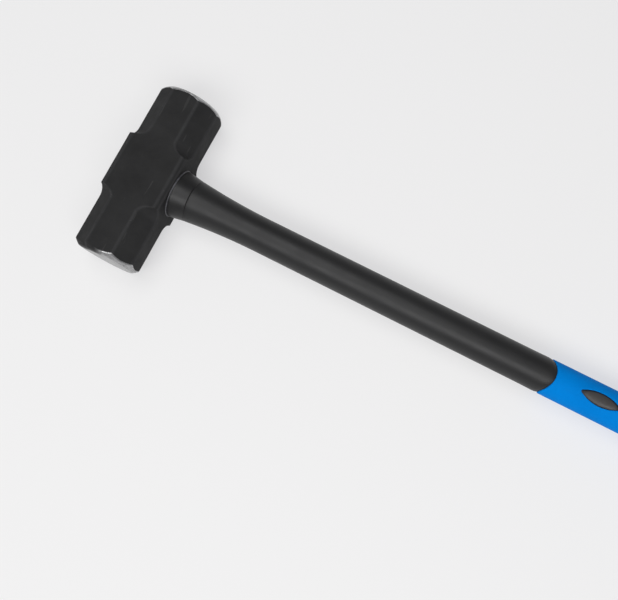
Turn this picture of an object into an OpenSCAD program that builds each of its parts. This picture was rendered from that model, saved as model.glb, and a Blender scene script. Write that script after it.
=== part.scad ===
/* [Head] */
// Length of the head from face to face
head_len = 182; // [160:1:220]
// Width of the head across the flats, along the handle
head_w = 64; // [60:1:72]
// Thickness of the head across the flats, up from the ground
head_t = 62; // [60:1:72]
// Leg of the corner cuts that make the ends octagonal
corner_cut = 17.5; // [14:0.5:18]
// Leg of the small chamfers along the square middle block
block_chamfer = 3.5; // [2:0.5:5]
// Length of the square middle block
block_len = 57; // [54:1:64]
// Radius of the hollow in which each corner cut runs out
runout_r = 11; // [11:0.5:16]
// Length of the ground bevel round each face, along the head
bevel_len = 5; // [3:0.5:7]
// Radius of the face inside its bevel
face_r = 29; // [26:0.5:30]
// Height of the crown on each face
face_crown = 0.8; // [0.4:0.1:2]
// Length of the oval eye, along the head
eye_len = 38; // [36:1:42]
// Width of the oval eye
eye_w = 28; // [26:1:32]

/* [Handle] */
// Length of the whole tool, from the head's top to the butt
overall_len = 900; // [880:1:920]
// Diameter of the fibreglass core
core_d = 22; // [18:1:23]
// Diameter of the jacket along the plain part of the handle
handle_d = 34.2; // [32:0.2:34.6]
// Diameter of the jacket where it meets the collar
flare_d = 43.2; // [42:0.2:45]
// Distance from the head's middle to where the flare begins
flare_start = 128; // [110:1:150]
// Distance from the head's middle to the seam between collar and jacket
seam_x = 50; // [46:0.5:56]
// Diameter of the collar against the head
collar_d = 48.6; // [47:0.2:52]
// Depth of the small chamfers on both sides of the seam
seam_chamfer = 0.6; // [0.3:0.1:1]

/* [Grip] */
// Distance from the head's middle to the tip of the jacket's rounded end
grip_x = 432; // [420:1:450]
// Radius of the jacket's rounded end, seen from above
tongue_r = 25; // [22:1:40]
// Diameter of the grip where it meets the jacket
grip_d = 35; // [34.8:0.2:37]
// Diameter of the jacket under the grip
under_grip_d = 28; // [26:0.5:30]
// Length of one lens window
lens_len = 38; // [30:1:48]
// Width of one lens window
lens_w = 12.5; // [8:0.5:16]
// Depth of the lenses below the grip's surface
lens_sink = 0.9; // [0.5:0.1:1.5]
// Distance from the head's middle to the first window
first_lens_x = 476; // [470:1:500]
// Distance between windows
lens_pitch = 62; // [52:1:64]
// Number of windows along each side
lens_count = 5; // [1:1:5]
// Diameter of the butt
butt_d = 43; // [40:0.5:48]
// Length of the swelling that leads to the butt
butt_len = 70; // [50:1:72]
// Radius of the butt's rounded edge
butt_edge = 6; // [4:0.5:6]

/* [Hidden] */
$fn = 96;

// Facets of the large circles that shape the swellings
arc_fn = 1440;
// A length that clears the whole head on every side
clear = 120;

// Half sizes of the head
half_w = head_w / 2;
half_t = head_t / 2;
half_len = head_len / 2;
// Distance of the corner cuts and of the block's chamfers from the head's axis
cut_r = (half_w + half_t - corner_cut) / sqrt(2);
chamfer_r = (half_w + half_t - block_chamfer) / sqrt(2);
// Where each corner cut turns into its run-out
cut_rise = chamfer_r - cut_r;
runout_y = block_len / 2 + sqrt(pow(runout_r, 2) - pow(runout_r - cut_rise, 2));
// The bevel is a zone of a ball, from the ridges of the octagon to the rim of the face
ridge_r = norm([half_w, half_t - corner_cut]);
rim_y = half_len - face_crown;
ball_depth = (pow(ridge_r, 2) - pow(face_r, 2) + pow(bevel_len, 2)) / (2 * bevel_len);
ball_r = norm([face_r, ball_depth]);
ball_y = rim_y - ball_depth;
crown_r = (pow(face_r, 2) + pow(face_crown, 2)) / (2 * face_crown);
// Nothing is ground away inside this radius and distance, which clear the middle block
waist_r = 50;
waist_y = rim_y - 2 * bevel_len;

// Depth of the resin below the head's top, and thickness of the dam in the eye's lower mouth
resin_sink = 1.2;
dam_t = 6;
dam_x = half_w - dam_t;
// Section of the bead of resin round the collar's foot
bead_w = 1.8;
bead_t = 1.2;
bead_out = 0.7;

// Radii along the handle
core_r = core_d / 2;
nose_r = 18;
handle_r = handle_d / 2;
flare_r = flare_d / 2;
collar_r = collar_d / 2;
bead_r = collar_r + bead_out;
grip_r = grip_d / 2;
under_r = under_grip_d / 2;
butt_r = butt_d / 2;
// Radius of the arc that swells by rise over a length
function swell_arc(len, rise) = (pow(len, 2) + pow(rise, 2)) / (2 * rise);
// The jacket swells to the grip over this length
blend_len = 36;
blend_x = grip_x - blend_len;
tongue_x = grip_x - tongue_r;
// The butt, and the plug that closes the core off
butt_x = overall_len - half_w;
swell_x = butt_x - butt_edge - butt_len;
end_sink = 0.8;
plug_sink = 1.6;
plug_t = 12;
plug_x = butt_x - plug_sink - plug_t;
// The lens windows are cut by two arcs each
lens_arc = swell_arc(lens_len / 2, lens_w / 2);
lens_side = lens_arc - lens_w / 2;

// As it lies, the block's lower edge and the butt touch the ground, so the handle slopes down
rest_x = half_w - block_chamfer;
rest_drop = half_t - (butt_r - butt_edge);
rest_reach = butt_x - butt_edge - rest_x;
tilt = acos(butt_edge / norm([rest_drop, rest_reach])) - atan2(rest_reach, rest_drop);
axis_z = half_t * cos(tilt) + rest_x * sin(tilt);
low_x = -half_w * cos(tilt) - (half_t - block_chamfer) * sin(tilt);
high_x = (butt_x - butt_edge) * cos(tilt) + (butt_r - butt_edge) * sin(tilt) + butt_edge;
mid_x = (low_x + high_x) / 2;

// Lays down a piece that is drawn about the middle of the head, with the handle along X
module as_laid() translate([-mid_x, 0, axis_z]) rotate([0, tilt, 0]) children();

// Turns a profile of radius against distance from the head about the handle's axis
module about_handle() rotate([0, 90, 0]) rotate_extrude() children();

// A rectangle in that profile, between two radii and two distances
module band(r0, r1, x0, x1) translate([r0, x0]) square([r1 - r0, x1 - x0]);

// A band whose outside swells from radius r0 at x0 to radius r1 at x1
module swelling(r0, r1, x0, x1) {
    arc = swell_arc(abs(x1 - x0), r1 - r0);
    difference() {
        band(0, r1, min(x0, x1), max(x0, x1));
        translate([r0 + arc, x0]) circle(r = arc, $fn = arc_fn);
    }
}

// An oval bar along the handle's axis, long across the handle
module eye_bar(from_x, to_x) {
    translate([from_x, 0, 0]) rotate([0, 90, 0]) linear_extrude(height = to_x - from_x) union() {
        for (side = [-1, 1]) translate([0, side * (eye_len - eye_w) / 2]) circle(d = eye_w);
        square([eye_w, eye_len - eye_w], center = true);
    }
}

// A round bar along the handle's axis
module rod(r, from_x, to_x) translate([from_x, 0, 0]) rotate([0, 90, 0]) cylinder(r = r, h = to_x - from_x);

// The forged bar: a square section with small chamfers, along the head
module forged_bar() {
    intersection() {
        cube([head_w, head_len, head_t], center = true);
        rotate([0, 45, 0]) cube([2 * chamfer_r, head_len, 2 * chamfer_r], center = true);
    }
}

// One corner cut at the +Y end, with its hollow run-out
module corner_cut_at(turn) {
    rotate([0, turn, 0]) linear_extrude(height = clear, center = true) union() {
        translate([cut_r, runout_y]) square(clear);
        translate([cut_r + runout_r, runout_y]) circle(r = runout_r);
    }
}

// The whole head as it is ground: rounded bevels and crowned faces, turned about the head's axis
module ground_outline() {
    rotate([90, 0, 0]) rotate_extrude() intersection() {
        band(0, waist_r, -half_len, half_len);
        union() {
            band(0, waist_r, -waist_y, waist_y);
            translate([0, ball_y]) circle(r = ball_r, $fn = arc_fn);
            translate([0, -ball_y]) circle(r = ball_r, $fn = arc_fn);
        }
        translate([0, half_len - crown_r]) circle(r = crown_r, $fn = arc_fn);
        translate([0, crown_r - half_len]) circle(r = crown_r, $fn = arc_fn);
    }
}

// Forged steel head with octagonal ends, a square middle and an oval eye
module head() {
    color("#303032") as_laid() difference() {
        intersection() {
            forged_bar();
            ground_outline();
        }
        for (turn = [45 : 90 : 315]) {
            corner_cut_at(turn);
            mirror([0, 1, 0]) corner_cut_at(turn);
        }
        eye_bar(-clear, clear);
    }
}

// Pultruded fibreglass core, from the top of the eye to the plug
module fibre_core() color("#b9a468") as_laid() rod(core_r, resin_sink - half_w, plug_x);

// Resin cast round the core in the eye
module eye_epoxy() {
    color("#3b362c") as_laid() difference() {
        eye_bar(resin_sink - half_w, dam_x);
        rod(core_r, -clear, clear);
    }
}

// Soft ring that closes the eye's lower mouth
module eye_dam() {
    color("#55534e") as_laid() difference() {
        eye_bar(dam_x, half_w);
        rod(core_r, -clear, clear);
    }
}

// Thin ring of resin squeezed out round the collar's foot
module resin_bead() {
    color("#8d8c93") as_laid() about_handle() band(bead_r - bead_w, bead_r, half_w, half_w + bead_t);
}

// Collar that guards the handle against missed blows
module overstrike_collar() {
    color("#26262a") as_laid() about_handle() polygon([
        [nose_r, half_w], [bead_r - bead_w, half_w], [bead_r - bead_w, half_w + bead_t],
        [collar_r, half_w + bead_t], [flare_r, seam_x - seam_chamfer],
        [flare_r - seam_chamfer, seam_x], [nose_r, seam_x]]);
}

// Outline of the whole handle up to the jacket's rounded end
module jacket_profile() {
    band(0, nose_r, half_w, seam_x);
    difference() {
        swelling(handle_r, flare_r, flare_start, seam_x);
        polygon([[flare_r - seam_chamfer, seam_x], [flare_r, seam_x], [flare_r, seam_x + seam_chamfer]]);
    }
    band(0, handle_r, flare_start, blend_x);
    swelling(handle_r, grip_r, blend_x, grip_x);
}

// Everything on the head's side of the jacket's rounded end, seen from above
module tongue() {
    linear_extrude(height = clear, center = true) union() {
        translate([0, -clear / 2]) square([tongue_x, clear]);
        translate([tongue_x, 0]) circle(r = tongue_r);
    }
}

// The lens windows of the upper and lower sides, as upright prisms
module lenses() {
    linear_extrude(height = clear, center = true) for (i = [0 : lens_count - 1])
        translate([first_lens_x + i * lens_pitch, 0]) intersection() {
            translate([0, lens_side]) circle(r = lens_arc);
            translate([0, -lens_side]) circle(r = lens_arc);
        }
}

// Black jacket over the core: flared neck, plain shaft, rounded end, and the lenses that show in the grip
module jacket() {
    color("#2b2b2e") as_laid() difference() {
        union() {
            intersection() {
                about_handle() jacket_profile();
                tongue();
            }
            rod(under_r, tongue_x, butt_x - end_sink);
            intersection() {
                rod(grip_r - lens_sink, tongue_x, swell_x);
                lenses();
            }
        }
        rod(core_r, 0, butt_x);
    }
}

// Outline of the grip, swelling to the butt with its rounded edge
module grip_profile() {
    band(0, grip_r, tongue_x, swell_x);
    swelling(grip_r, butt_r, swell_x, butt_x - butt_edge);
    band(0, butt_r - butt_edge, butt_x - butt_edge, butt_x);
    intersection() {
        translate([butt_r - butt_edge, butt_x - butt_edge]) circle(r = butt_edge);
        band(butt_r - butt_edge, butt_r, butt_x - butt_edge, butt_x);
    }
}

// Soft blue grip moulded over the jacket
module grip() {
    color("#0076d6") as_laid() difference() {
        about_handle() grip_profile();
        rod(under_r, 0, butt_x + 1);
        tongue();
        lenses();
    }
}

// Plug behind the core's end
module butt_plug() color("#222225") as_laid() rod(core_r, plug_x, butt_x - plug_sink);

head();
fibre_core();
eye_epoxy();
eye_dam();
resin_bead();
overstrike_collar();
jacket();
grip();
butt_plug();
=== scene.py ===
import math

import bmesh
import bpy
import numpy as np
from mathutils import Matrix, Vector


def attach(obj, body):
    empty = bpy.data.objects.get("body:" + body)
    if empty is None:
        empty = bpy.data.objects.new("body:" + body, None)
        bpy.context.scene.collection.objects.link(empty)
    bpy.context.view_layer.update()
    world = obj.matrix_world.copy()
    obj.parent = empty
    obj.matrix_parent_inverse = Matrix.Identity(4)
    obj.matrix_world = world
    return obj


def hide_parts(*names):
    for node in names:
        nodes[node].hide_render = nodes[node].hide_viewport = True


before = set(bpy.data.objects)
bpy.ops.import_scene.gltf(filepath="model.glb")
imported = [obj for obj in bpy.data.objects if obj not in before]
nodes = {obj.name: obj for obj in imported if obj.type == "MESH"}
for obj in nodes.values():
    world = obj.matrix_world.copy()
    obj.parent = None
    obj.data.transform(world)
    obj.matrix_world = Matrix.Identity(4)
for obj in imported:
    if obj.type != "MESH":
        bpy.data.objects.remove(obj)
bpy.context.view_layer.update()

# ---------------------------------------------------------------------------------------------
# Sizes of the part in millimetres, in the tool's own frame: the head's middle at the origin,
# the handle along +X, the head along Y. They repeat the sizes of the CAD part.
# ---------------------------------------------------------------------------------------------
HEAD_LEN, HEAD_W, HEAD_T = 182.0, 64.0, 62.0
CORNER_CUT, BLOCK_CHAMFER, BLOCK_LEN, RUNOUT_R = 17.5, 3.5, 57.0, 11.0
BEVEL_LEN, FACE_R, FACE_CROWN = 5.0, 29.0, 0.8
EYE_LEN, EYE_W, RESIN_SINK, DAM_T = 38.0, 28.0, 1.2, 6.0
OVERALL, CORE_R, NOSE_R = 900.0, 11.0, 18.0
HANDLE_R, FLARE_R, FLARE_START, SEAM_X, SEAM_CHAMFER = 17.1, 21.6, 128.0, 50.0, 0.6
COLLAR_R, BEAD_W, BEAD_T, BEAD_OUT = 24.3, 1.8, 1.2, 0.7
GRIP_X, BLEND_LEN, TONGUE_R = 432.0, 36.0, 25.0
GRIP_R, UNDER_R = 17.5, 14.0
LENS_LEN, LENS_W, LENS_SINK = 38.0, 12.5, 0.9
LENS_X, LENS_PITCH, LENS_COUNT = 476.0, 62.0, 5
BUTT_R, BUTT_LEN, BUTT_EDGE = 21.5, 70.0, 6.0
END_SINK = 0.8

HALF_W, HALF_T, HALF_LEN = HEAD_W / 2, HEAD_T / 2, HEAD_LEN / 2
BUTT_X = OVERALL - HALF_W
TONGUE_X = GRIP_X - TONGUE_R
BLEND_X = GRIP_X - BLEND_LEN
SWELL_X = BUTT_X - BUTT_EDGE - BUTT_LEN
LENS_X0 = LENS_X - LENS_PITCH / 2
LENS_X1 = LENS_X0 + LENS_COUNT * LENS_PITCH

# How the tool lies: the block's lower edge and the butt's edge touch the ground
rest_x = HALF_W - BLOCK_CHAMFER
rest_drop = HALF_T - (BUTT_R - BUTT_EDGE)
rest_reach = BUTT_X - BUTT_EDGE - rest_x
TILT = math.acos(BUTT_EDGE / math.hypot(rest_drop, rest_reach)) - math.atan2(rest_reach, rest_drop)
axis_z = HALF_T * math.cos(TILT) + rest_x * math.sin(TILT)
low_x = -HALF_W * math.cos(TILT) - (HALF_T - BLOCK_CHAMFER) * math.sin(TILT)
high_x = (BUTT_X - BUTT_EDGE) * math.cos(TILT) + (BUTT_R - BUTT_EDGE) * math.sin(TILT) + BUTT_EDGE
MM = 0.001
LAID = (Matrix.Translation(Vector((-(low_x + high_x) / 2, 0, axis_z)) * MM)
        @ Matrix.Rotation(TILT, 4, "Y"))

# ---------------------------------------------------------------------------------------------
# Camera, from the tool's own frame
# ---------------------------------------------------------------------------------------------
SENSOR = 36.0
FOCAL = 49.5146
CAMERA_AT = Vector((301.2, -153.0, 798.0)) * MM
LOOK = Vector((-0.1287, 0.1440, -0.9812)).normalized()
RIGHT = Vector((0.8856, 0.4620, -0.0484))

cam_data = bpy.data.cameras.new("camera")
cam_data.sensor_width = SENSOR
cam_data.lens = FOCAL
cam_data.clip_start = 0.01
camera = bpy.data.objects.new("camera", cam_data)
bpy.context.scene.collection.objects.link(camera)
right = (RIGHT - LOOK * RIGHT.dot(LOOK)).normalized()
up = right.cross(LOOK)
camera.matrix_world = LAID @ Matrix((
    (right.x, up.x, -LOOK.x, CAMERA_AT.x),
    (right.y, up.y, -LOOK.y, CAMERA_AT.y),
    (right.z, up.z, -LOOK.z, CAMERA_AT.z),
    (0, 0, 0, 1)))
bpy.context.scene.camera = camera


# ---------------------------------------------------------------------------------------------
# Mesh tools
# ---------------------------------------------------------------------------------------------
def new_object(name, verts, faces, sharp_deg=35.0):
    """A closed mesh in the tool's frame, from millimetres, welded and smooth apart from sharp edges."""
    mesh = bpy.data.meshes.new(name)
    mesh.from_pydata((np.asarray(verts, float) * MM).tolist(), [], [list(map(int, f)) for f in faces])
    bm = bmesh.new()
    bm.from_mesh(mesh)
    bmesh.ops.remove_doubles(bm, verts=bm.verts, dist=2e-6)
    bmesh.ops.dissolve_degenerate(bm, edges=bm.edges, dist=1e-6)
    bmesh.ops.recalc_face_normals(bm, faces=bm.faces)
    bm.to_mesh(mesh)
    bm.free()
    mesh.shade_smooth()
    mesh.set_sharp_from_angle(angle=math.radians(sharp_deg))
    obj = bpy.data.objects.new(name, mesh)
    bpy.context.scene.collection.objects.link(obj)
    obj.matrix_world = LAID
    return obj


def grid_faces(rows, cols, offset=0, wrap_rows=False, wrap_cols=False):
    """Quads of a grid of points that is stored row by row."""
    r = np.arange(rows if wrap_rows else rows - 1)
    c = np.arange(cols if wrap_cols else cols - 1)
    r, c = (a.ravel() for a in np.meshgrid(r, c, indexing="ij"))
    r1, c1 = (r + 1) % rows, (c + 1) % cols
    return (np.stack([r * cols + c, r * cols + c1, r1 * cols + c1, r1 * cols + c], 1) + offset).tolist()


class Shell:
    """Collects grids of points, which new_object then welds."""

    def __init__(self):
        self.verts, self.faces, self.count = [], [], 0

    def grid(self, points, **wrap):
        points = np.asarray(points, float)
        rows, cols = points.shape[:2]
        self.faces += grid_faces(rows, cols, self.count, **wrap)
        self.verts.append(points.reshape(-1, 3))
        self.count += rows * cols

    def fan(self, ring, centre):
        ring = np.asarray(ring, float)
        n = len(ring)
        self.verts.append(np.vstack([ring, centre]))
        self.faces += [[self.count + i, self.count + (i + 1) % n, self.count + n] for i in range(n)]
        self.count += n + 1

    def build(self, name, **kw):
        return new_object(name, np.vstack(self.verts), self.faces, **kw)


def smooth_max(a, b, k):
    h = np.clip(1 - np.abs(a - b) / k, 0, None)
    return np.maximum(a, b) + 0.25 * k * h * h


def smooth_min(a, b, k):
    return -smooth_max(-a, -b, k)


def fillet(points, steps=5):
    """A closed outline of (radius, distance, corner radius), as points with each corner rounded."""
    out = []
    n = len(points)
    for i, (px, py, rad) in enumerate(points):
        p = np.array([px, py])
        a = np.array(points[i - 1][:2]) - p
        b = np.array(points[(i + 1) % n][:2]) - p
        la, lb = np.linalg.norm(a), np.linalg.norm(b)
        a, b = a / la, b / lb
        half = math.acos(float(np.clip(a @ b, -1, 1))) / 2
        if rad <= 0 or half > math.radians(88):
            out.append(p)
            continue
        cut = min(rad / math.tan(half), 0.49 * la, 0.49 * lb)
        rad = cut * math.tan(half)
        centre = p + (a + b) / np.linalg.norm(a + b) * (rad / math.sin(half))
        s, e = p + a * cut - centre, p + b * cut - centre
        turn = math.atan2(s[0] * e[1] - s[1] * e[0], s @ e)
        for t in np.linspace(0, turn, steps + 1):
            out.append(centre + np.array([s[0] * math.cos(t) - s[1] * math.sin(t),
                                          s[0] * math.sin(t) + s[1] * math.cos(t)]))
    return np.array(out)


def ring_points(radius, distance, angles):
    """Points round the handle's axis. Angle 0 is up and 90 degrees is +Y."""
    radius, distance, angles = np.broadcast_arrays(radius, distance, angles)
    return np.stack([distance, radius * np.sin(angles), radius * np.cos(angles)], -1)


def turned(name, outline, sections=144):
    """A closed outline of (radius, distance) turned about the handle's axis."""
    angles = np.linspace(0, 2 * math.pi, sections, endpoint=False)
    rings = [ring_points(r, x, angles) for r, x in outline]
    shell = Shell()
    shell.grid(rings, wrap_rows=True, wrap_cols=True)
    return shell.build(name)


def waves(p, seeds, size):
    """Smooth unevenness from 0 to 1, from a few crossed waves about that many millimetres long."""
    rng = np.random.default_rng(seeds)
    total = np.zeros(len(p))
    for _ in range(9):
        d = rng.normal(size=3)
        d *= 2 * math.pi / (size * rng.uniform(0.7, 1.6)) / np.linalg.norm(d)
        total += np.sin(p @ d + rng.uniform(0, 6.28))
    return np.clip(0.5 + total / 12, 0, 1)


# ---------------------------------------------------------------------------------------------
# The head: one smooth skin found along rays from the head's axis
# ---------------------------------------------------------------------------------------------
cut_r = (HALF_W + HALF_T - CORNER_CUT) / math.sqrt(2)
chamfer_r = (HALF_W + HALF_T - BLOCK_CHAMFER) / math.sqrt(2)
runout_y = BLOCK_LEN / 2 + math.sqrt(RUNOUT_R ** 2 - (RUNOUT_R - chamfer_r + cut_r) ** 2)
ridge_r = math.hypot(HALF_W, HALF_T - CORNER_CUT)
rim_y = HALF_LEN - FACE_CROWN
ball_depth = (ridge_r ** 2 - FACE_R ** 2 + BEVEL_LEN ** 2) / (2 * BEVEL_LEN)
ball_r = math.hypot(FACE_R, ball_depth)
ball_y = rim_y - ball_depth
crown_r = (FACE_R ** 2 + FACE_CROWN ** 2) / (2 * FACE_CROWN)
# In millimetres: how softly the forged edges, the block's corners and the ground edges are rounded,
# how uneven the forged skin is, how wide the paler band painted along each ridge as a highlight is,
# and how far the bare steel's colour spreads past the ground surface
FORGED_EDGE = 0.9
BLOCK_EDGE = 2.2
GROUND_EDGE = 0.3
UNEVEN = 0.10
RIDGE_FADE = 1.3
GROUND_SPREAD = 0.8


def corner_limit(y):
    """How far out the corner cuts lie along the head, with the block in the middle."""
    reach = np.clip(runout_y - np.abs(y), 0, 0.999 * RUNOUT_R)
    hollow = cut_r + RUNOUT_R - np.sqrt(RUNOUT_R ** 2 - reach ** 2)
    return smooth_min(hollow, np.full_like(hollow, chamfer_r), BLOCK_EDGE)


def head_parts(p):
    """Distances to the forged skin and to the ground skin, negative inside the steel."""
    x, y, z = p.T
    ax, ay, az = np.abs(x), np.abs(y), np.abs(z)
    flats = smooth_max(ax - HALF_W, az - HALF_T, FORGED_EDGE)
    corners = (ax + az) / math.sqrt(2) - corner_limit(y)
    forged = smooth_max(flats, corners, FORGED_EDGE)
    forged = forged + UNEVEN * waves(p, 5, 26) + 0.5 * UNEVEN * waves(p, 8, 9)
    around = x * x + z * z
    bevel = np.sqrt(around + np.clip(ay - ball_y, 0, None) ** 2) - ball_r
    crown = np.sqrt(around + (ay - HALF_LEN + crown_r) ** 2) - crown_r
    return forged, smooth_max(bevel, crown, 2 * GROUND_EDGE)


def head_inside(p):
    forged, ground = head_parts(p)
    return smooth_max(forged, ground, GROUND_EDGE)


def spaced(lo, hi, fine_at, fine, coarse):
    """Stations from lo to hi that are closer together near fine_at."""
    out = [lo]
    while out[-1] < hi:
        near = min(abs(out[-1] - f) for f in fine_at)
        out.append(out[-1] + (fine if near < 4 else coarse))
    out = np.array(out)
    return lo + (out - lo) * (hi - lo) / (out[-1] - lo)


def make_head():
    around = 320
    # Rays leave this stretch of the axis square to it, and fan out from its two ends
    spine = 58.0
    theta = np.linspace(0, 2 * math.pi, around, endpoint=False)
    half = spaced(0, spine, [BLOCK_LEN / 2, BLOCK_LEN / 2 + 4, runout_y], 0.6, 1.7)
    stations = np.concatenate([-half[:0:-1], half])
    rim = math.degrees(math.atan2(FACE_R, rim_y - spine))
    ridge = math.degrees(math.atan2(ridge_r, rim_y - BEVEL_LEN - spine))
    low = np.concatenate([np.linspace(89, ridge + 5, 22), np.linspace(ridge + 4.4, rim - 1.5, 36),
                          np.linspace(rim - 2.5, 2, 16)])
    alphas = np.radians(low)
    origins, rays = [], []
    for a in alphas[::-1]:
        origins.append(np.tile([0, -spine, 0], (around, 1)))
        rays.append(np.stack([np.cos(theta) * math.sin(a), np.full(around, -math.cos(a)),
                              np.sin(theta) * math.sin(a)], 1))
    for s in stations:
        origins.append(np.tile([0, s, 0], (around, 1)))
        rays.append(np.stack([np.cos(theta), np.zeros(around), np.sin(theta)], 1))
    for a in alphas:
        origins.append(np.tile([0, spine, 0], (around, 1)))
        rays.append(np.stack([np.cos(theta) * math.sin(a), np.full(around, math.cos(a)),
                              np.sin(theta) * math.sin(a)], 1))
    rows = len(origins)
    o = np.vstack(origins).astype(float)
    d = np.vstack(rays)
    # Halve the span along each ray until it closes on the skin, which is nearer than 70 mm
    lo, hi = np.zeros(len(o)), np.full(len(o), 70.0)
    for _ in range(34):
        mid = (lo + hi) / 2
        inside = head_inside(o + d * mid[:, None]) < 0
        lo, hi = np.where(inside, mid, lo), np.where(inside, hi, mid)
    skin = (o + d * lo[:, None]).reshape(rows, around, 3)
    shell = Shell()
    shell.grid(skin, wrap_cols=True)
    shell.fan(skin[0], [0, -HALF_LEN + 0.02, 0])
    shell.fan(skin[-1], [0, HALF_LEN - 0.02, 0])
    head = shell.build("sledge_head")

    # The oval eye right through the head, with a small chamfer at each mouth
    side = np.linspace(-math.pi / 2, math.pi / 2, 33)
    offset = (EYE_LEN - EYE_W) / 2
    cutter = Shell()
    rings = []
    mouth, past = 1.1, 2
    for x, grow in ((-HALF_W - past, mouth + past), (-HALF_W + mouth, 0),
                    (HALF_W - mouth, 0), (HALF_W + past, mouth + past)):
        r = EYE_W / 2 + grow
        right_end = np.stack([np.full(len(side), x), offset + r * np.cos(side), r * np.sin(side)], 1)
        left_end = np.stack([np.full(len(side), x), -offset - r * np.cos(side), -r * np.sin(side)], 1)
        rings.append(np.vstack([right_end, left_end]))
    cutter.grid(rings, wrap_cols=True)
    cutter.fan(rings[0], [-HALF_W - past, 0, 0])
    cutter.fan(rings[-1], [HALF_W + past, 0, 0])
    tool = cutter.build("eye_cutter")
    cut = head.modifiers.new("eye", "BOOLEAN")
    cut.operation = "DIFFERENCE"
    cut.solver = "EXACT"
    cut.object = tool
    bpy.context.view_layer.update()
    result = bpy.data.meshes.new_from_object(head.evaluated_get(bpy.context.evaluated_depsgraph_get()))
    head.modifiers.clear()
    head.data = result
    bpy.data.objects.remove(tool)
    result.shade_smooth()
    result.set_sharp_from_angle(angle=math.radians(32))

    # What the shader needs: how far each point is ground rather than forged, and how close to a ridge
    co = np.zeros(len(result.vertices) * 3)
    result.vertices.foreach_get("co", co)
    p = co.reshape(-1, 3) / MM
    forged, ground = head_parts(p)
    mask = result.attributes.new("ground", "FLOAT", "POINT")
    mask.data.foreach_set("value", np.clip(ground - forged, -3, 3).astype(np.float32))
    ax, az = np.abs(p[:, 0]), np.abs(p[:, 2])
    corners = (ax + az) / math.sqrt(2) - corner_limit(p[:, 1])
    terms = np.sort(np.stack([ax - HALF_W, az - HALF_T, corners], 1), 1)
    ridge_near = np.exp(-((terms[:, 2] - terms[:, 1]) / RIDGE_FADE) ** 2)
    edge = result.attributes.new("ridge", "FLOAT", "POINT")
    edge.data.foreach_set("value", ridge_near.astype(np.float32))
    return head


# ---------------------------------------------------------------------------------------------
# What shows in the eye, and the neck
# ---------------------------------------------------------------------------------------------
EYE_POINTS = 96


def oval(grow):
    """The eye's outline in Y and Z, grown by that much."""
    t = np.linspace(0, 2 * math.pi, EYE_POINTS, endpoint=False)
    offset = (EYE_LEN - EYE_W) / 2
    y = np.cos(t) * (EYE_W / 2 + grow)
    shifted = y + np.sign(np.cos(t)) * offset * (np.abs(np.cos(t)) > 1e-9)
    return np.stack([shifted, np.sin(t) * (EYE_W / 2 + grow)], 1)


def make_epoxy():
    """The resin round the core, drawn up a little at both walls, with a closed body below."""
    t = np.linspace(0, 2 * math.pi, EYE_POINTS, endpoint=False)
    core = np.stack([np.cos(t), np.sin(t)], 1) * CORE_R
    wall = oval(-0.02)
    top = -HALF_W + RESIN_SINK
    rings = []
    for w in (0, 0.04, 0.1, 0.2, 0.35, 0.5, 0.65, 0.8, 0.9, 0.96, 1):
        yz = core * (1 - w) + wall * w
        rise = 0.7 * math.exp(-(1 - w) / 0.09) - 0.25 * math.sin(math.pi * w)
        bumps = waves(np.column_stack([yz, np.zeros(len(yz))]), 3, 9)
        ripple = 0.12 * (bumps - 0.5) * math.sin(math.pi * w)
        rings.append(np.column_stack([top - rise + ripple, yz]))
    rings.append(np.column_stack([np.full(len(wall), HALF_W - DAM_T), wall]))
    rings.append(np.column_stack([np.full(len(core), HALF_W - DAM_T), core]))
    shell = Shell()
    shell.grid(rings, wrap_rows=True, wrap_cols=True)
    return shell.build("eye_resin")


def make_bead():
    """The squeezed-out ring of resin: round in section, and uneven as it was laid."""
    angles = np.linspace(0, 2 * math.pi, 240, endpoint=False)
    at = np.stack([40 * np.cos(angles), 40 * np.sin(angles), np.zeros(len(angles))], 1)
    swell = 0.62 + 0.38 * waves(at, 11, 30)
    outer = COLLAR_R - 0.25 + (BEAD_OUT + 0.2) * swell
    inner = COLLAR_R + BEAD_OUT - BEAD_W + 0.02
    rings = [ring_points(inner, HALF_W, angles)]
    for t in np.linspace(0, math.pi / 2, 7):
        r = inner + 0.9 + (outer - inner - 0.9) * math.cos(t)
        x = HALF_W + BEAD_T * swell * math.sin(t)
        rings.append(ring_points(r, x, angles))
    rings.append(ring_points(inner, HALF_W + BEAD_T * swell, angles))
    shell = Shell()
    shell.grid(rings, wrap_rows=True, wrap_cols=True)
    return shell.build("neck_bead")


def make_collar():
    foot = COLLAR_R + BEAD_OUT - BEAD_W
    body = [(NOSE_R, HALF_W, 0), (foot, HALF_W, 0), (foot, HALF_W + BEAD_T, 0),
            (COLLAR_R, HALF_W + BEAD_T, 0.35)]
    body += [(COLLAR_R + (FLARE_R - COLLAR_R) * s,
              HALF_W + BEAD_T + (SEAM_X - SEAM_CHAMFER - HALF_W - BEAD_T) * s, 0)
             for s in (0.1, 0.2, 0.35, 0.5, 0.65, 0.8, 0.9)]
    body += [(FLARE_R, SEAM_X - SEAM_CHAMFER, 0.5), (FLARE_R - SEAM_CHAMFER, SEAM_X, 0.1),
             (NOSE_R, SEAM_X, 0)]
    return turned("strike_collar", fillet(body))


# ---------------------------------------------------------------------------------------------
# The jacket: flared neck, plain shaft, and the rounded end, which rolls down to the grip
# ---------------------------------------------------------------------------------------------
def swell(x, x0, r0, x1, r1):
    """Radius of an arc that starts level at x0 with radius r0 and reaches r1 at x1."""
    length, rise = abs(x1 - x0), r1 - r0
    arc = (length ** 2 + rise ** 2) / (2 * rise)
    return r0 + arc - np.sqrt(arc ** 2 - np.clip(np.asarray(x, float) - x0, -length, length) ** 2)


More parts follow.
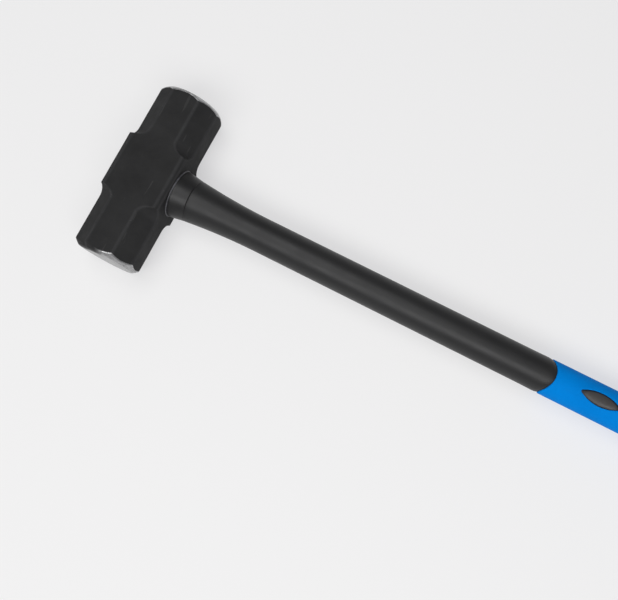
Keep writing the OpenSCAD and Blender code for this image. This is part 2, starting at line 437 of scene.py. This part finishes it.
PATCH_COLS, STRIP_COLS = 22, 26
PATCH_HALF = math.radians(40)
ANGLES = np.concatenate([
    np.linspace(-PATCH_HALF, PATCH_HALF, PATCH_COLS, endpoint=False),
    np.linspace(PATCH_HALF, math.pi - PATCH_HALF, STRIP_COLS, endpoint=False),
    np.linspace(math.pi - PATCH_HALF, math.pi + PATCH_HALF, PATCH_COLS, endpoint=False),
    np.linspace(math.pi + PATCH_HALF, 2 * math.pi - PATCH_HALF, STRIP_COLS, endpoint=False)])
ROLL_LEN, ROLL_DEPTH = 6.5, 0.9
EDGE_GAP = 0.25


def tongue_end(y):
    """Where the jacket's rounded end lies, seen from above."""
    return TONGUE_X + np.sqrt(TONGUE_R ** 2 - np.asarray(y, float) ** 2)


def make_jacket():
    fine = np.linspace(0, 2 * math.pi, 192, endpoint=False)
    y_end = GRIP_R * np.sin(fine)
    end = tongue_end(y_end) - EDGE_GAP
    rings = [ring_points(NOSE_R, SEAM_X + 0.02, fine),
             ring_points(FLARE_R - SEAM_CHAMFER, SEAM_X + 0.02, fine),
             ring_points(FLARE_R - 0.75 * SEAM_CHAMFER, SEAM_X + 0.08, fine),
             ring_points(FLARE_R - 0.3 * SEAM_CHAMFER, SEAM_X + 0.7 * SEAM_CHAMFER, fine)]
    for x in np.linspace(SEAM_X + 1.2, FLARE_START, 30):
        rings.append(ring_points(swell(x, FLARE_START, HANDLE_R, SEAM_X, FLARE_R), x, fine))
    for x in np.linspace(FLARE_START, BLEND_X, 60)[1:]:
        rings.append(ring_points(HANDLE_R, x, fine))
    for s in np.concatenate([np.linspace(0, 0.7, 8)[1:], np.linspace(0.7, 1, 26)[1:]]):
        x = BLEND_X + (end - BLEND_X) * s
        left = np.clip(1 - (end - x) / ROLL_LEN, 0, 1)
        r = swell(x, BLEND_X, HANDLE_R, GRIP_X, GRIP_R) - ROLL_DEPTH * left ** 2.6
        rings.append(ring_points(r, x, fine))
    last, bevel = BUTT_X - END_SINK, 0.3
    for x, r in ((end, UNDER_R), (SWELL_X, UNDER_R), (last - bevel, UNDER_R), (last, UNDER_R - bevel),
                 (last, CORE_R + bevel), (last - bevel, CORE_R), (HALF_W, CORE_R), (HALF_W, NOSE_R)):
        rings.append(ring_points(r, x, fine))
    shell = Shell()
    shell.grid(rings, wrap_rows=True, wrap_cols=True)
    return shell.build("handle_jacket")


# ---------------------------------------------------------------------------------------------
# The lens windows: an outline of two arcs with rounded tips, and curves at any distance from it
# ---------------------------------------------------------------------------------------------
PATCH_ROWS = 24
TIP_STEPS = 6
TIP_R = 1.3


def lens_outline(grow):
    """Points round the window, grown by that much, from the headward tip over +Y and back."""
    a, b = LENS_LEN / 2 - TIP_R, LENS_W / 2 - TIP_R
    arc = (a * a + b * b) / (2 * b)
    open_angle = math.asin(a / arc)
    steps = PATCH_ROWS + PATCH_COLS - 2 * TIP_STEPS
    tip = np.linspace(math.pi, math.pi / 2 + open_angle, TIP_STEPS + 1)
    main = np.linspace(math.pi / 2 + open_angle, math.pi / 2 - open_angle, steps + 1)[1:]
    last = np.linspace(math.pi / 2 - open_angle, 0, TIP_STEPS + 1)[1:]
    pts = [(-a + (TIP_R + grow) * np.cos(tip), (TIP_R + grow) * np.sin(tip)),
           ((arc + TIP_R + grow) * np.cos(main), b - arc + (arc + TIP_R + grow) * np.sin(main)),
           (a + (TIP_R + grow) * np.cos(last), (TIP_R + grow) * np.sin(last))]
    x = np.concatenate([p[0] for p in pts])
    y = np.concatenate([p[1] for p in pts])
    return np.concatenate([x, x[-2:0:-1]]), np.concatenate([y, -y[-2:0:-1]])


def patch_border():
    """The border of a window's patch, as distance and angle, matched point by point to the outline."""
    half = PATCH_COLS // 2
    up_ = np.linspace(0, PATCH_HALF, half + 1)
    along = np.linspace(-LENS_PITCH / 2, LENS_PITCH / 2, PATCH_ROWS + 1)
    x = np.concatenate([np.full(half, along[0]), along, np.full(half, along[-1])])
    t = np.concatenate([up_[:-1], np.full(PATCH_ROWS + 1, PATCH_HALF), up_[::-1][1:]])
    return np.concatenate([x, x[-2:0:-1]]), np.concatenate([t, -t[-2:0:-1]])


def make_lenses():
    """The crowned pads of the jacket that show in the windows."""
    shell = Shell()
    ox, oy = lens_outline(0.05)
    rim = GRIP_R - LENS_SINK
    fall = 0.75
    floor_r = UNDER_R - 1.5
    for i in range(LENS_COUNT):
        middle = LENS_X + i * LENS_PITCH
        for side in (1, -1):
            rings = []
            for q in (0.12, 0.3, 0.5, 0.66, 0.8, 0.9, 0.96, 1.0):
                r = rim - fall * q ** 3
                rings.append(np.stack([middle + ox * q, oy * q, side * np.sqrt(r ** 2 - (oy * q) ** 2)], 1))
            rings.append(np.stack([middle + ox, oy, side * np.sqrt(floor_r ** 2 - oy ** 2)], 1))
            shell.grid(rings, wrap_cols=True)
            shell.fan(rings[0], [middle, 0, side * rim])
            shell.fan(rings[-1], [middle, 0, side * floor_r])
    return shell.build("lens_pads")


# ---------------------------------------------------------------------------------------------
# The grip: a blue shell over the jacket, with rounded rims at its windows
# ---------------------------------------------------------------------------------------------
RIM_R = 0.9
FRONT_R = 0.7


def make_grip():
    shell = Shell()
    y_end = GRIP_R * np.sin(ANGLES)
    start = tongue_end(y_end)
    front = []
    for t in np.linspace(0, math.pi / 2, 6):
        front.append(ring_points(GRIP_R - FRONT_R + FRONT_R * math.sin(t),
                                 start + FRONT_R * (1 - math.cos(t)), ANGLES))
    for s in np.linspace(0, 1, 12)[1:]:
        front.append(ring_points(GRIP_R, start + FRONT_R + (LENS_X0 - start - FRONT_R) * s, ANGLES))
    shell.grid(front, wrap_cols=True)
    inner = [ring_points(UNDER_R, start + (LENS_X0 - start) * s, ANGLES) for s in np.linspace(0, 1, 8)]
    shell.grid(inner, wrap_cols=True)
    shell.grid([inner[0], front[0]], wrap_cols=True)

    # The swelling, the butt's rounded edge and its end, and the bore back to the windows
    back = [ring_points(GRIP_R, x, ANGLES) for x in np.linspace(LENS_X1, SWELL_X, 10)]
    for x in np.linspace(SWELL_X, BUTT_X - BUTT_EDGE, 32)[1:]:
        back.append(ring_points(swell(x, SWELL_X, GRIP_R, BUTT_X - BUTT_EDGE, BUTT_R), x, ANGLES))
    for t in np.linspace(0, math.pi / 2, 14)[1:]:
        back.append(ring_points(BUTT_R - BUTT_EDGE + BUTT_EDGE * math.cos(t),
                                BUTT_X - BUTT_EDGE + BUTT_EDGE * math.sin(t), ANGLES))
    back.append(ring_points(UNDER_R + 0.45, BUTT_X, ANGLES))
    back.append(ring_points(UNDER_R + 0.1, BUTT_X - 0.12, ANGLES))
    back.append(ring_points(UNDER_R, BUTT_X - 0.45, ANGLES))
    for x in np.linspace(BUTT_X - 1, LENS_X1, 12):
        back.append(ring_points(UNDER_R, x, ANGLES))
    shell.grid(back, wrap_cols=True)

    border_x, border_t = patch_border()
    rows = [LENS_X0 + LENS_PITCH * i / PATCH_ROWS for i in range(LENS_COUNT * PATCH_ROWS + 1)]
    for first in (PATCH_COLS, 2 * PATCH_COLS + STRIP_COLS):
        strip = np.append(ANGLES, ANGLES[0] + 2 * math.pi)[first:first + STRIP_COLS + 1]
        for r in (GRIP_R, UNDER_R):
            shell.grid([ring_points(r, x, strip) for x in rows])
    for i in range(LENS_COUNT):
        middle = LENS_X + i * LENS_PITCH
        for side in (1, -1):
            outer, under = [], []
            far_x, far_y = lens_outline(2.6)
            for w in (1, 0.8, 0.6, 0.4, 0.2, 0):
                y = GRIP_R * np.sin(border_t) * w + far_y * (1 - w)
                x = border_x * w + far_x * (1 - w)
                outer.append(np.stack([middle + x, y, side * np.sqrt(GRIP_R ** 2 - y ** 2)], 1))
                y_in = UNDER_R * np.sin(border_t) * w + lens_outline(0)[1] * (1 - w)
                x_in = border_x * w + lens_outline(0)[0] * (1 - w)
                under.append(np.stack([middle + x_in, y_in, side * np.sqrt(UNDER_R ** 2 - y_in ** 2)], 1))
            for d in (1.9, 1.4, 1.1, 0.9, 0.72, 0.54, 0.36, 0.2, 0.09, 0.02, 0):
                x, y = lens_outline(d)
                left = max(RIM_R - d, 0)
                drop = RIM_R - math.sqrt(max(RIM_R ** 2 - left ** 2, 0))
                outer.append(np.stack([middle + x, y, side * (np.sqrt(GRIP_R ** 2 - y ** 2) - drop)], 1))
            outer.append(under[-1])
            shell.grid(outer, wrap_cols=True)
            shell.grid(under, wrap_cols=True)
    return shell.build("blue_grip", sharp_deg=40)


def make_plug():
    """The plug in the core's bore, with a shallow dimple in its end."""
    sink, length, dimple, dimple_r = 1.6, 12, 0.5, 3.9
    x0, x1 = BUTT_X - sink - length, BUTT_X - sink
    outline = fillet([(0.01, x0, 0), (CORE_R - 0.02, x0, 0), (CORE_R - 0.02, x1, 0.6),
                      (dimple_r + dimple, x1, 0.3), (dimple_r, x1 - dimple, 0.3), (0.01, x1 - dimple, 0)])
    return turned("end_plug", outline, 96)


# ---------------------------------------------------------------------------------------------
# Materials. Texture coordinates are each piece's own, in metres. For the pieces made above that is
# the tool's frame.
# ---------------------------------------------------------------------------------------------
class Mat:
    """A node material with one Principled shader and short ways to add to it."""

    def __init__(self, name):
        self.m = bpy.data.materials.new(name)
        self.m.use_nodes = True
        self.t = self.m.node_tree
        self.shader = self.t.nodes["Principled BSDF"]
        self.coord = self.t.nodes.new("ShaderNodeTexCoord").outputs["Object"]

    def node(self, kind, inputs=(), **props):
        n = self.t.nodes.new(kind)
        for k, v in props.items():
            setattr(n, k, v)
        for k, v in dict(inputs).items():
            self.put(n.inputs[k], v)
        return n

    def put(self, socket, value):
        if isinstance(value, bpy.types.NodeSocket):
            self.t.links.new(value, socket)
        else:
            socket.default_value = value

    def set(self, **values):
        for k, v in values.items():
            self.put(self.shader.inputs[k.replace("_", " ")], v)

    def mapped(self, scale=(1, 1, 1), turn=(0, 0, 0)):
        return self.node("ShaderNodeMapping",
                         {"Vector": self.coord, "Scale": scale, "Rotation": turn}).outputs[0]

    def noise(self, scale, detail=3.0, rough=0.5, vector=None):
        return self.node("ShaderNodeTexNoise", {
            "Vector": self.coord if vector is None else vector, "Scale": scale, "Detail": detail,
            "Roughness": rough}).outputs["Fac"]

    def cells(self, scale, feature="F1", vector=None, out="Distance"):
        return self.node("ShaderNodeTexVoronoi", {"Vector": self.coord if vector is None else vector,
                                                  "Scale": scale}, feature=feature).outputs[out]

    def span(self, value, a, b, c=0.0, d=1.0, smooth=False):
        return self.node("ShaderNodeMapRange",
                         {"Value": value, "From Min": a, "From Max": b, "To Min": c, "To Max": d},
                         interpolation_type="SMOOTHSTEP" if smooth else "LINEAR").outputs[0]

    def math(self, op, a, b=0.0):
        n = self.node("ShaderNodeMath", operation=op)
        for socket, v in zip(n.inputs, (a, b)):
            self.put(socket, v)
        return n.outputs[0]

    def mix(self, factor, a, b):
        n = self.node("ShaderNodeMix", data_type="RGBA")
        self.put(n.inputs[0], factor)
        self.put(n.inputs[6], a)
        self.put(n.inputs[7], b)
        return n.outputs[2]

    def attribute(self, name):
        return self.node("ShaderNodeAttribute", attribute_name=name).outputs["Fac"]

    def axis(self, which):
        return self.node("ShaderNodeSeparateXYZ", {"Vector": self.coord}).outputs[which]

    def bump(self, height, strength, distance, under=None):
        inputs = {"Height": height, "Strength": strength, "Distance": distance}
        if under is not None:
            inputs["Normal"] = under
        return self.node("ShaderNodeBump", inputs).outputs[0]


def grey(v, tint=(1, 1, 1)):
    return (v * tint[0], v * tint[1], v * tint[2], 1)


def scratches(m, scale, turn, share):
    """Sparse fine lines, 1 where there is a scratch."""
    line = m.noise(scale, 2.0, 0.6, m.mapped((1, 0.12, 1), turn))
    return m.span(line, share, share + 0.02)


def head_material():
    m = Mat("forged_black_and_ground_steel")
    broad = m.noise(38, 4, 0.55)
    scale_spots = m.cells(420, "SMOOTH_F1")
    fine = m.noise(900, 3, 0.6)
    pits = m.span(m.cells(520, "F1"), 0.0, 0.22, smooth=True)
    ridge = m.attribute("ridge")
    worn = m.math("MULTIPLY", m.math("POWER", ridge, 3.0), m.span(m.noise(160, 4, 0.65), 0.5, 0.75))
    marks = m.math("MAXIMUM", scratches(m, 210, (0.4, 0.2, 1.1), 0.70),
                   scratches(m, 190, (0.1, 0.5, 2.3), 0.70))
    black = m.mix(m.span(broad, 0.3, 0.72), grey(0.021, (1.0, 1.0, 1.02)), grey(0.030, (1.0, 1.0, 1.02)))
    # Painted highlight: the black coat turns paler in an even band along every ridge
    black = m.mix(m.math("MULTIPLY", m.span(ridge, 0.0, 0.9, smooth=True), 0.45), black,
                  grey(0.05, (1.0, 1.0, 1.04)))
    black = m.mix(m.math("MULTIPLY", marks, 0.35), black, grey(0.06))
    black = m.mix(m.math("MULTIPLY", worn, 0.45), black, grey(0.06))

    # Ground steel: streaks that run round the head's axis, with a few dull patches, and a painted dark
    # reflection on the near end's ring
    x, y, z = (m.axis(i) for i in range(3))
    turn = m.math("ARCTAN2", z, x)
    reach = m.math("SQRT", m.math("ADD", m.math("MULTIPLY", x, x), m.math("MULTIPLY", z, z)))
    lathe = m.node("ShaderNodeCombineXYZ", {"X": m.math("MULTIPLY", turn, 0.004),
                                            "Y": m.math("SUBTRACT", reach, y),
                                            "Z": m.math("ADD", reach, y)}).outputs[0]
    streak = m.noise(1500, 3, 0.62, lathe)
    cross = m.noise(260, 3, 0.6)
    steel = m.mix(m.span(streak, 0.3, 0.7), grey(0.22, (1, 1, 1.02)), grey(0.48, (1, 1, 1.01)))
    steel = m.mix(m.span(cross, 0.58, 0.75), steel, grey(0.15, (1.0, 0.97, 0.95)))
    # Painted reflection: on the near end's ring, above the axis and away from the handle, the steel turns
    # dark and gives way to the black coat's colour. This stands in for a dark reflection.
    painted_dark_reflection = m.span(m.math("ADD", x, m.span(cross, 0, 1, -0.006, 0.006)), 0.006, -0.004)
    painted_dark_reflection = m.math("MULTIPLY", painted_dark_reflection, m.math("MULTIPLY", m.span(y, -0.05, -0.07), m.span(z, 0.002, 0.009)))
    painted_dark_reflection = m.math("MULTIPLY", painted_dark_reflection, m.span(reach, 0.017, 0.023))
    steel = m.mix(m.math("MULTIPLY", painted_dark_reflection, 0.9), steel, grey(0.04))

    ragged = m.math("ADD", m.attribute("ground"),
                    m.span(m.noise(340, 3, 0.6), 0.3, 0.7, GROUND_SPREAD - 0.16, GROUND_SPREAD + 0.16))
    mask = m.span(ragged, -0.02, 0.05)
    chipped = m.math("MULTIPLY", worn, m.span(m.noise(700, 2, 0.5), 0.68, 0.74))
    bare = m.math("MAXIMUM", m.math("MULTIPLY", mask, m.span(painted_dark_reflection, 0, 1, 1, 0.06)),
                  m.math("MULTIPLY", chipped, 0.6))
    rough_black = m.span(m.noise(70, 4, 0.6), 0.3, 0.7, 0.60, 0.74)
    rough_steel = m.span(streak, 0.3, 0.7, 0.42, 0.26)
    rough = m.node("ShaderNodeMix", {0: bare, 2: rough_black, 3: rough_steel}, data_type="FLOAT").outputs[0]
    relief = m.math("ADD", m.math("MULTIPLY", fine, 0.35), m.math("MULTIPLY", scale_spots, 0.55))
    relief = m.math("SUBTRACT", relief, m.math("MULTIPLY", marks, 0.5))
    relief = m.math("SUBTRACT", relief, m.math("MULTIPLY", m.math("SUBTRACT", 1.0, pits), 0.25))
    relief = m.node("ShaderNodeMix", {0: mask, 2: relief, 3: m.math("MULTIPLY", streak, 0.35)},
                    data_type="FLOAT").outputs[0]
    wave = m.bump(m.noise(55, 2, 0.5), 0.35, 0.0012)
    m.set(Base_Color=m.mix(bare, black, steel), Metallic=bare, Roughness=rough,
          Normal=m.bump(relief, 0.35, 0.00028, wave))
    m.set(Specular_IOR_Level=0.09)
    return m.m


def plastic(name, base, low, high, grain, depth, parting=True, tint=(1, 1, 1.03), rim=None):
    """Moulded plastic: fine grain, faint flow marks, scuffs, and a parting line or, at a sunken rim, a dark
    band of painted shade.
    """
    m = Mat(name)
    flow = m.noise(22, 3, 0.5, m.mapped((0.25, 1, 1)))
    tone = m.mix(m.span(flow, 0.3, 0.7), grey(base * 0.88, tint), grey(base * 1.14, tint))
    scuff = m.span(m.noise(260, 3, 0.62, m.mapped((0.14, 1, 1), (0.2, 0.1, 0.35))), 0.64, 0.72)
    tone = m.mix(m.math("MULTIPLY", scuff, 0.16), tone, grey(base * 2.6, tint))
    # Painted shade: the outer edge of a sunken pad turns dark, where the window's wall would shade it
    if rim:
        reach = m.math("SQRT", m.math("ADD", m.math("MULTIPLY", m.axis(1), m.axis(1)),
                                      m.math("MULTIPLY", m.axis(2), m.axis(2))))
        tone = m.mix(m.span(reach, rim - 0.0006, rim - 0.0003, 0.9, 0), tone, grey(base * 0.15, tint))
    rough = m.math("ADD", m.span(m.noise(48, 4, 0.6), 0.3, 0.7, low, high), m.math("MULTIPLY", scuff, 0.05))
    height = m.math("ADD", m.math("MULTIPLY", m.cells(grain, "SMOOTH_F1"), 0.6), m.noise(grain * 2.2, 2, 0.5))
    normal = m.bump(height, 0.22, depth)
    if parting:
        line = m.span(m.math("ABSOLUTE", m.axis(2)), 0.0, 0.00035, 1, 0, smooth=True)
        normal = m.bump(line, 0.5, 0.00012, normal)
    m.set(Base_Color=tone, Roughness=rough, Normal=normal)
    m.set(Specular_IOR_Level=0.37)
    return m.m


def rubber_material():
    m = Mat("blue_soft_rubber")
    cloud = m.noise(30, 3, 0.55)
    speck = m.noise(1500, 2, 0.6)
    tone = m.mix(m.span(cloud, 0.3, 0.7), (0.0, 0.205, 0.66, 1), (0.0, 0.225, 0.71, 1))
    tone = m.mix(m.span(speck, 0.35, 0.65, 0.0, 0.12), tone, (0.0, 0.165, 0.55, 1))
    dirt = m.span(m.noise(95, 5, 0.7), 0.62, 0.8)
    tone = m.mix(m.math("MULTIPLY", dirt, 0.10), tone, (0.02, 0.10, 0.30, 1))
    rough = m.span(m.noise(64, 4, 0.6), 0.3, 0.7, 0.60, 0.72)
    grain = m.math("ADD", m.cells(1300, "SMOOTH_F1"), m.math("MULTIPLY", speck, 0.6))
    normal = m.bump(grain, 0.3, 0.00012)
    line = m.span(m.math("ABSOLUTE", m.axis(2)), 0.0, 0.00035, 1, 0, smooth=True)
    m.set(Base_Color=tone, Roughness=rough, Normal=m.bump(line, 0.5, 0.00012, normal))
    m.set(Specular_IOR_Level=0.03)
    return m.m


def resin_material(name, dark, light, low, high):
    m = Mat(name)
    tone = m.mix(m.span(m.noise(140, 4, 0.6), 0.3, 0.7), dark, light)
    bubble = m.span(m.cells(620, "F1"), 0.0, 0.2, smooth=True)
    tone = m.mix(m.span(bubble, 0.0, 1.0, 0.35, 0.0), tone, light)
    rough = m.span(m.noise(260, 3, 0.6), 0.3, 0.7, low, high)
    wave = m.bump(m.noise(180, 3, 0.5), 0.3, 0.0005)
    m.set(Base_Color=tone, Roughness=rough, Normal=m.bump(bubble, 0.3, 0.0002, wave))
    return m.m


def fibre_material():
    m = Mat("sawn_fibreglass")
    ends = m.cells(2100, "F1", m.mapped((0.02, 1, 1)))
    bundle = m.noise(380, 3, 0.6, m.mapped((0.03, 1, 1)))
    tone = m.mix(m.span(ends, 0.1, 0.6), (0.52, 0.45, 0.26, 1), (0.20, 0.15, 0.06, 1))
    tone = m.mix(m.span(bundle, 0.45, 0.7, 0, 0.6), tone, (0.30, 0.22, 0.09, 1))
    saw = m.noise(900, 2, 0.5, m.mapped((1, 0.05, 1), (0.5, 0, 0)))
    m.set(Base_Color=tone, Roughness=m.span(bundle, 0.3, 0.7, 0.5, 0.75),
          Normal=m.bump(m.math("ADD", ends, saw), 0.5, 0.0002))
    return m.m


def foam_material():
    m = Mat("foam_rubber_ring")
    cell = m.cells(900, "F1")
    m.set(Base_Color=m.mix(m.span(cell, 0.1, 0.6), grey(0.035), grey(0.095)),
          Roughness=m.span(cell, 0.1, 0.6, 0.95, 0.8), Normal=m.bump(cell, 0.6, 0.0005))
    return m.m


def dress(obj, material):
    obj.data.materials.clear()
    obj.data.materials.append(material)


# ---------------------------------------------------------------------------------------------
# The pieces
# ---------------------------------------------------------------------------------------------
PIECES = [
    (make_head(), "head", "forged_steel", head_material()),
    (make_epoxy(), "eye_epoxy", "resin",
     resin_material("cast_resin", (0.030, 0.024, 0.018, 1), (0.085, 0.066, 0.043, 1), 0.16, 0.34)),
    (make_bead(), "resin_bead", "resin_grey",
     resin_material("squeezed_resin", (0.035, 0.035, 0.04, 1), (0.13, 0.13, 0.145, 1), 0.4, 0.55)),
    (make_collar(), "overstrike_collar", "collar_plastic",
     plastic("collar_plastic", 0.012, 0.36, 0.44, 1100, 0.00010)),
    (make_jacket(), "jacket", "jacket_plastic", plastic("jacket_plastic", 0.015, 0.40, 0.50, 900, 0.00014)),
    (make_lenses(), "jacket", "jacket_plastic",
     plastic("lens_plastic", 0.052, 0.36, 0.46, 1000, 0.00010, parting=False, tint=(1.06, 1.0, 0.98),
             rim=(GRIP_R - LENS_SINK) * MM)),
    (make_grip(), "grip", "grip_rubber", rubber_material()),
    (make_plug(), "butt_plug", "collar_plastic",
     plastic("plug_plastic", 0.014, 0.40, 0.5, 1100, 0.00010, parting=False)),
]
for piece, node, slot, material in PIECES:
    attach(piece, "root")
    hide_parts(node)
    dress(piece, material)
dress(nodes["fibre_core"], fibre_material())
dress(nodes["eye_dam"], foam_material())

# ---------------------------------------------------------------------------------------------
# Floor and light
# ---------------------------------------------------------------------------------------------
floor_mesh = bpy.data.meshes.new("floor")
FLOOR_HALF = 9.0
FLOOR_GLOW = 0.56
floor_mesh.from_pydata([(-FLOOR_HALF, -FLOOR_HALF, 0), (FLOOR_HALF, -FLOOR_HALF, 0),
                        (FLOOR_HALF, FLOOR_HALF, 0), (-FLOOR_HALF, FLOOR_HALF, 0)], [], [(0, 1, 2, 3)])
floor = bpy.data.objects.new("floor", floor_mesh)
bpy.context.scene.collection.objects.link(floor)
floor_mat = Mat("pale_floor")
floor_mat.set(Base_Color=(0.34, 0.34, 0.33, 1), Roughness=0.9, Specular_IOR_Level=0.05,
              Emission_Color=(0.985, 0.98, 1.0, 1), Emission_Strength=FLOOR_GLOW)
dress(floor, floor_mat.m)

# The room is pale at the horizon, and evenly dim above it
world = bpy.data.worlds.new("studio")
bpy.context.scene.world = world
world.use_nodes = True
sky = world.node_tree
direction = sky.nodes.new("ShaderNodeTexCoord").outputs["Generated"]
height = sky.nodes.new("ShaderNodeSeparateXYZ")
level = sky.nodes.new("ShaderNodeMapRange")
level.interpolation_type = "SMOOTHSTEP"
for socket, value in (("From Min", 0.05), ("From Max", 0.45), ("To Min", 0.55), ("To Max", 0.16)):
    level.inputs[socket].default_value = value
sky.links.new(direction, height.inputs[0])
sky.links.new(height.outputs["Z"], level.inputs["Value"])
sky.links.new(level.outputs[0], sky.nodes["Background"].inputs["Strength"])
sky.nodes["Background"].inputs["Color"].default_value = (0.985, 0.985, 1.0, 1)


def area_light(name, at, aim, size, power):
    data = bpy.data.lights.new(name, "AREA")
    data.shape = "RECTANGLE"
    data.size, data.size_y = size
    data.energy = power
    lamp = bpy.data.objects.new(name, data)
    bpy.context.scene.collection.objects.link(lamp)
    lamp.location = at
    lamp.visible_camera = False
    lamp.rotation_euler = (Vector(aim) - Vector(at)).to_track_quat("-Z", "Y").to_euler()


area_light("key", (0.1, -1.0, 1.6), (-0.1, 0, 0), (2.4, 0.8), 24)
area_light("top", (-0.75, 0.2, 2.0), (-0.3, 0, 0), (1.2, 1.2), 14)
bpy.context.scene.view_settings.view_transform = "Standard"

bpy.context.view_layer.update()
